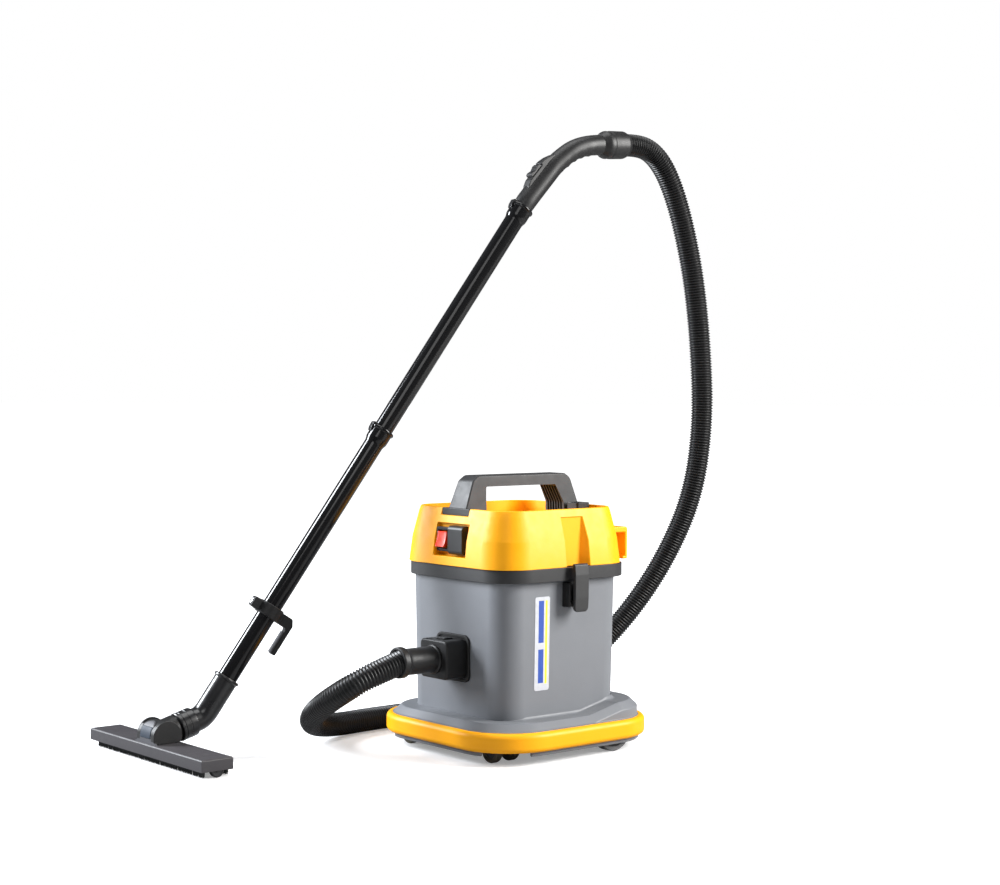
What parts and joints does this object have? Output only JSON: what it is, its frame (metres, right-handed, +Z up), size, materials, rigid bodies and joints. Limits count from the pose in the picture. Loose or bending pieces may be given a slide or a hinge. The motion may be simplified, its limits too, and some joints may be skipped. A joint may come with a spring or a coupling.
{
  "type": "canister vacuum cleaner",
  "caption": "Square-tub dry canister vacuum on casters, with lift-off motor head, hose, bent hand tube, wand and hard-floor brush tool.",
  "frame": {"origin": "on the floor, under the centre of the box of everything but the hose", "axes": "+Z up; +X the machine's right side; -Y its front, where the inlet and the switch are"},
  "size_m": [0.6356, 1.1419, 1.1224],
  "materials": {
    "yellow_plastic": "satin moulded",
    "grey_plastic": "satin moulded, fine texture",
    "dark_grey_plastic": "satin moulded, fine texture",
    "black_plastic": "satin moulded",
    "black_gloss": "glossy moulded",
    "black_tube": "glossy black enamel on steel tube",
    "hose_black": "ribbed, half gloss",
    "black_rubber": "matt",
    "red_rocker": "glossy translucent",
    "label": "printed film",
    "steel": "zinc plated",
    "aluminium": "as pressed",
    "filter_cloth": "woven polyester",
    "paper_bag": "plain paper",
    "cardboard": "plain",
    "olive_tread": "moulded polyurethane",
    "grey_tyre": "moulded rubber",
    "wheel_hub": "satin moulded",
    "tool_grey": "satin moulded",
    "tool_light": "satin moulded",
    "pedal_blue": "satin moulded",
    "bristle": "nylon bristle tufts"
  },
  "bodies": {
    "root": {"base_plate": "grey_plastic", "bumper_ring": "yellow_plastic", "rear_axle": "steel", "tub": "grey_plastic", "tub_label": "label", "inlet_flange": "black_rubber", "inlet_box": "black_plastic", "hose_cuff": "black_plastic", "bag_collar": "cardboard", "dust_bag": "paper_bag", "latch_bracket_right": "black_plastic", "latch_bracket_left": "black_plastic", "lower_tube": "black_tube", "upper_tube": "black_tube", "park_clip": "black_plastic", "clip_screw": "steel", "hand_tube": "black_plastic", "hose_cup": "black_plastic", "hose": "hose_black", "elbow": "black_gloss", "swivel_collar": "black_gloss"},
    "head": {"head_cover": "yellow_plastic", "head_band": "dark_grey_plastic", "head_seal": "black_rubber", "carry_handle": "dark_grey_plastic", "handle_screws": "steel", "exhaust_housing": "black_plastic", "switch_bezel": "black_plastic", "socket_cap": "black_plastic", "rear_hooks": "yellow_plastic", "cable_gland": "black_rubber", "motor_plate": "grey_plastic", "motor_shell": "black_plastic", "motor_seal": "black_rubber", "filter_cage": "dark_grey_plastic", "cloth_filter": "filter_cloth", "filter_ring": "black_rubber"},
    "rotor": {"fan_rotor": "aluminium"},
    "rocker": {"switch_rocker": "red_rocker"},
    "hose_release": {"release_button": "black_plastic"},
    "latch_right": {"latch_lever_right": "dark_grey_plastic"},
    "latch_left": {"latch_lever_left": "dark_grey_plastic"},
    "caster_right": {"caster_fork_right": "black_plastic"},
    "caster_left": {"caster_fork_left": "black_plastic"},
    "caster_wheels_right": {"caster_wheels_right": "olive_tread"},
    "caster_wheels_left": {"caster_wheels_left": "olive_tread"},
    "rear_wheel_right": {"rear_tyre_right": "grey_tyre", "rear_hub_right": "wheel_hub"},
    "rear_wheel_left": {"rear_tyre_left": "grey_tyre", "rear_hub_left": "wheel_hub"},
    "air_slider": {"air_slider": "black_plastic"},
    "neck": {"tool_neck": "black_plastic"},
    "tool": {"tool_body": "tool_grey", "tool_arch": "tool_light", "tool_fairing": "black_plastic"},
    "pedal": {"tool_pedal": "pedal_blue"},
    "brushes": {"brush_strips": "bristle"},
    "tool_wheel_left": {"tool_wheel_left": "wheel_hub"},
    "tool_wheel_right": {"tool_wheel_right": "wheel_hub"}
  },
  "joints": [
    {"name": "head_lift", "type": "slide", "parent": "root", "child": "head", "axis": [0, 0, 1], "range_m": [0, 0.2]},
    {"name": "rotor_spin", "type": "hinge", "parent": "head", "child": "rotor", "pos_m": [0.12552, 0.1459, 0.35], "axis": [0, 0, 1], "continuous": true},
    {"name": "rocker_tilt", "type": "hinge", "parent": "head", "child": "rocker", "pos_m": [0.10052, 0.0069, 0.371], "axis": [1, 0, 0], "range_deg": [0, 16]},
    {"name": "release_press", "type": "slide", "parent": "root", "child": "hose_release", "axis": [0, 0, -1], "range_m": [0, 0.0025], "stiffness_N_per_m": 400},
    {"name": "latch_open_right", "type": "hinge", "parent": "root", "child": "latch_right", "pos_m": [0.27952, 0.1549, 0.264], "axis": [0, 1, 0], "range_deg": [0, 70]},
    {"name": "latch_open_left", "type": "hinge", "parent": "root", "child": "latch_left", "pos_m": [-0.02848, 0.1549, 0.264], "axis": [0, -1, 0], "range_deg": [0, 70]},
    {"name": "caster_swivel_right", "type": "hinge", "parent": "root", "child": "caster_right", "pos_m": [0.22552, 0.0179, 0.05], "axis": [0, 0, 1], "continuous": true},
    {"name": "caster_swivel_left", "type": "hinge", "parent": "root", "child": "caster_left", "pos_m": [0.02552, 0.0179, 0.05], "axis": [0, 0, 1], "continuous": true},
    {"name": "caster_roll_right", "type": "hinge", "parent": "caster_right", "child": "caster_wheels_right", "pos_m": [0.23952, 0.0179, 0.022], "axis": [0, 1, 0], "continuous": true},
    {"name": "caster_roll_left", "type": "hinge", "parent": "caster_left", "child": "caster_wheels_left", "pos_m": [0.01152, 0.0179, 0.022], "axis": [0, 1, 0], "continuous": true},
    {"name": "rear_roll_right", "type": "hinge", "parent": "root", "child": "rear_wheel_right", "pos_m": [0.28152, 0.2379, 0.037], "axis": [1, 0, 0], "continuous": true},
    {"name": "rear_roll_left", "type": "hinge", "parent": "root", "child": "rear_wheel_left", "pos_m": [-0.03048, 0.2379, 0.037], "axis": [1, 0, 0], "continuous": true},
    {"name": "air_slide", "type": "slide", "parent": "root", "child": "air_slider", "axis": [-0.1028, -0.6415, -0.7602], "range_m": [0, 0.012]},
    {"name": "neck_swivel", "type": "hinge", "parent": "root", "child": "neck", "pos_m": [-0.12782, -0.34647, 0.06553], "axis": [0, 0.9659, 0.2588], "range_deg": [-90, 90]},
    {"name": "tool_pitch", "type": "hinge", "parent": "neck", "child": "tool", "pos_m": [-0.12782, -0.4276, 0.04379], "axis": [-1, 0, 0], "range_deg": [-4, 26]},
    {"name": "brush_lift", "type": "slide", "parent": "tool", "child": "brushes", "axis": [0, 0, 1], "range_m": [0, 0.006]},
    {"name": "pedal_press", "type": "hinge", "parent": "tool", "child": "pedal", "pos_m": [-0.12782, -0.4562, 0.0419], "axis": [-1, 0, 0], "range_deg": [0, 4.1]},
    {"name": "tool_roll_left", "type": "hinge", "parent": "tool", "child": "tool_wheel_left", "pos_m": [-0.30732, -0.4276, 0.012], "axis": [1, 0, 0], "continuous": true},
    {"name": "tool_roll_right", "type": "hinge", "parent": "tool", "child": "tool_wheel_right", "pos_m": [0.05168, -0.4276, 0.012], "axis": [1, 0, 0], "continuous": true}
  ],
  "couplings": [
    {"joint": "pedal_press", "follows": "brush_lift", "rad_per_m": 11.636}
  ]
}
